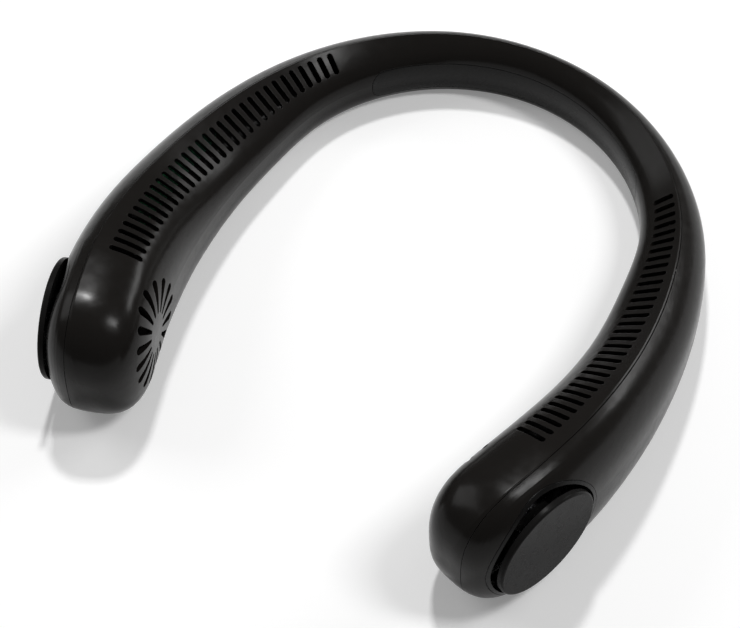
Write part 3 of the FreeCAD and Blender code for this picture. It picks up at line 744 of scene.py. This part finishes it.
class DressMotors(bpy.types.Operator):
    """Finish the fixed and turning parts of both motors"""

    bl_idname = "neck_fan.dress_motors"
    bl_label = "Dress Motors"

    def execute(self, context):
        dress(turned_metal("stator_steel", colour=(0.36, 0.37, 0.39), roughness=0.42), *both("stator"))
        dress(turned_metal("rotor_steel", colour=(0.56, 0.57, 0.59), roughness=0.3), *both("rotor_cup"))
        dress(turned_metal("shaft_steel", colour=(0.68, 0.69, 0.71), roughness=0.18), *both("motor_shaft"))
        dress(turned_metal("bush_bronze", colour=(0.48, 0.31, 0.13), roughness=0.4), *both("bearing_bush"))
        dress(turned_metal("magnet_black", colour=(0.07, 0.068, 0.07), roughness=0.55), *both("ring_magnet"))
        dress(lacquered_board("motor_board_lacquer"), *both("motor_board"))
        return {"FINISHED"}


class WindCoils(bpy.types.Operator):
    """Wind wire round the teeth of both stators"""

    bl_idname = "neck_fan.wind_coils"
    bl_label = "Wind Coils"

    def execute(self, context):
        settings = context.scene.fan_winding
        tree = winding_tree()
        wire = enamelled_wire("winding_wire")
        radius = settings.wire_radius
        for side in SIDES:
            placement = motor_frame(side)
            points = motor_points(side + "_coils", placement)
            low, high, near, far = motor_span(points)
            turns = int((far - near) / (2 * radius))
            piece = tree.make(
                side + "_winding", Turns=turns, Pitch=2 * radius, First=near + radius,
                Loop_Width=coil_width(points) - 2 * radius, Loop_Height=high - low - 2 * radius,
                Middle=(low + high) / 2, Wire=radius * WIRE_FILL, Corner=settings.corner_radius,
                Sides=settings.wire_sides, Teeth=STATOR_TEETH, Finish=wire)
            piece.data.transform(placement)
            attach(piece, "housing")
            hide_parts(side + "_coils")
        return {"FINISHED"}


class DriveScrews(bpy.types.Operator):
    """Make all screws, with cross recesses and threads"""

    bl_idname = "neck_fan.drive_screws"
    bl_label = "Drive Screws"

    def execute(self, context):
        settings = context.scene.fan_screws
        tree = screw_tree()
        steel = turned_metal("screw_steel", colour=(0.1, 0.1, 0.105), roughness=0.36)
        for node in ("housing_screws", "board_screws", *both("disc_screws")):
            places, axes, sizes = zip(*(measure_screw(points) for points in solids_of(node)))
            size = sizes[0]
            piece = tree.make(
                node + "_threaded", places, axes, Pitch=settings.thread_pitch / MILLIMETRE,
                Thread_Depth=size["Shank_Radius"] * settings.thread_share,
                Recess_Reach=size["Head_Radius"] * settings.recess_reach_share,
                Recess_Width=size["Head_Radius"] * settings.recess_width_share,
                Recess_Depth=size["Head_Height"] * settings.recess_depth_share,
                Sides=settings.sides, Finish=steel, **size)
            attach(piece, "housing")
            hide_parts(node)
        return {"FINISHED"}


class DressPower(bpy.types.Operator):
    """Finish the battery cells"""

    bl_idname = "neck_fan.dress_power"
    bl_label = "Dress Battery Cells"

    def execute(self, context):
        dress(foil_pouch("cell_foil"), *both("battery_cell"))
        return {"FINISHED"}


class DressControls(bpy.types.Operator):
    """Finish the control board and what stands on it"""

    bl_idname = "neck_fan.dress_controls"
    bl_label = "Dress Controls"

    def execute(self, context):
        finish = context.scene.fan_finish
        dress(lacquered_board("control_board_lacquer"), "control_board")
        dress(moulded_plastic(finish, "switch_plastic", finish.switch_colour, roughness=0.4), "tact_switch")
        dress(moulded_plastic(finish, "button_plastic", finish.button_colour, roughness=0.34), "power_button")
        dress(turned_metal("socket_plating", colour=(0.62, 0.62, 0.63), roughness=0.22), "usb_socket")
        dress(frosted_clear("light_pipe_clear"), "light_pipe")
        return {"FINISHED"}


class BuildStage(bpy.types.Operator):
    """Set up the floor, the lamps, the room light and the camera"""

    bl_idname = "neck_fan.build_stage"
    bl_label = "Build Stage"

    def execute(self, context):
        stage = context.scene.fan_stage
        context.scene.view_settings.view_transform = "Standard"
        add_floor(stage)
        add_room(context.scene, stage)
        add_lamp("key_softbox", place=(-0.32, 0.52, 1.35), size=(0.12, 0.12), power=9.5)
        add_lamp("right_softbox", place=(0.75, 0.29, 1.25), size=(0.22, 0.5), power=7.3)
        add_lamp("rear_strip", place=(0.62, 1.15, 0.62), size=(0.6, 0.26), power=4.5)
        add_lamp("left_fill", place=(-1.2, -0.1, 0.9), size=(0.8, 0.8), power=4.7)
        add_camera(context.scene, stage)
        return {"FINISHED"}


# The stage

def add_floor(stage):
    """A square floor just under the fan."""
    half = stage.floor_size / 2
    mesh = bpy.data.meshes.new("floor")
    corners = [(-half, -half, 0), (half, -half, 0), (half, half, 0), (-half, half, 0)]
    mesh.from_pydata(corners, [], [(0, 1, 2, 3)])
    paint(mesh, floor_paper(stage))
    floor = add_object("floor", mesh)
    floor.location.z = CAD_BOX[0].z - FLOOR_GAP


def add_room(scene, stage):
    """Even white light from all round."""
    world = bpy.data.worlds.new("room")
    world.use_nodes = True
    background = world.node_tree.nodes["Background"]
    background.inputs["Color"].default_value = (1.0, 1.0, 1.0, 1.0)
    background.inputs["Strength"].default_value = stage.world_level
    scene.world = world


def add_lamp(name, place, size, power):
    """A soft rectangular lamp, turned to the fan."""
    data = bpy.data.lights.new(name, "AREA")
    data.shape = "RECTANGLE"
    data.size, data.size_y = size
    data.energy = power
    lamp = add_object(name, data)
    lamp.location = place
    lamp.rotation_euler = (Vector(LAMP_AIM) - Vector(place)).to_track_quat("-Z", "Y").to_euler()


def add_camera(scene, stage):
    """A camera at a distance from its aim, turned about the fan, raised and rolled."""
    right = Vector((math.cos(stage.azimuth), math.sin(stage.azimuth), 0))
    level = math.cos(stage.elevation)
    back = Vector((
        math.sin(stage.azimuth) * level, -math.cos(stage.azimuth) * level, math.sin(stage.elevation)))
    turn = Matrix((right, back.cross(right), back)).transposed().to_4x4()
    data = bpy.data.cameras.new("camera")
    data.sensor_width = SENSOR_WIDTH
    data.lens = stage.focal_pixels * SENSOR_WIDTH / IMAGE_WIDTH
    camera = add_object("camera", data)
    place = Matrix.Translation(Vector(stage.aim) + back * stage.distance)
    camera.matrix_world = place @ turn @ Matrix.Rotation(stage.roll, 4, "Z")
    scene.camera = camera


# Add-on

class NeckFanPanel(bpy.types.Panel):
    """Lists the neck fan's operators"""

    bl_idname = "VIEW3D_PT_neck_fan"
    bl_label = "Neck Fan"
    bl_space_type = "VIEW_3D"
    bl_region_type = "UI"
    bl_category = "Neck Fan"

    def draw(self, context):
        for operator in OPERATORS:
            self.layout.operator(operator.bl_idname)


SETTINGS = {
    "fan_finish": FanFinish, "fan_winding": FanWinding, "fan_screws": FanScrews, "fan_stage": FanStage}
OPERATORS = (
    DressHousing, DressIntakes, DressBlowers, DressMotors, WindCoils, DriveScrews, DressPower, DressControls,
    BuildStage)


def register():
    for cls in (*SETTINGS.values(), *OPERATORS, NeckFanPanel):
        bpy.utils.register_class(cls)
    for name, cls in SETTINGS.items():
        setattr(bpy.types.Scene, name, PointerProperty(type=cls))


def unregister():
    for name in SETTINGS:
        delattr(bpy.types.Scene, name)
    for cls in reversed((*SETTINGS.values(), *OPERATORS, NeckFanPanel)):
        bpy.utils.unregister_class(cls)


def main():
    register()
    for operator in OPERATORS:
        group, name = operator.bl_idname.split(".")
        getattr(getattr(bpy.ops, group), name)()


if __name__ == "__main__":
    main()
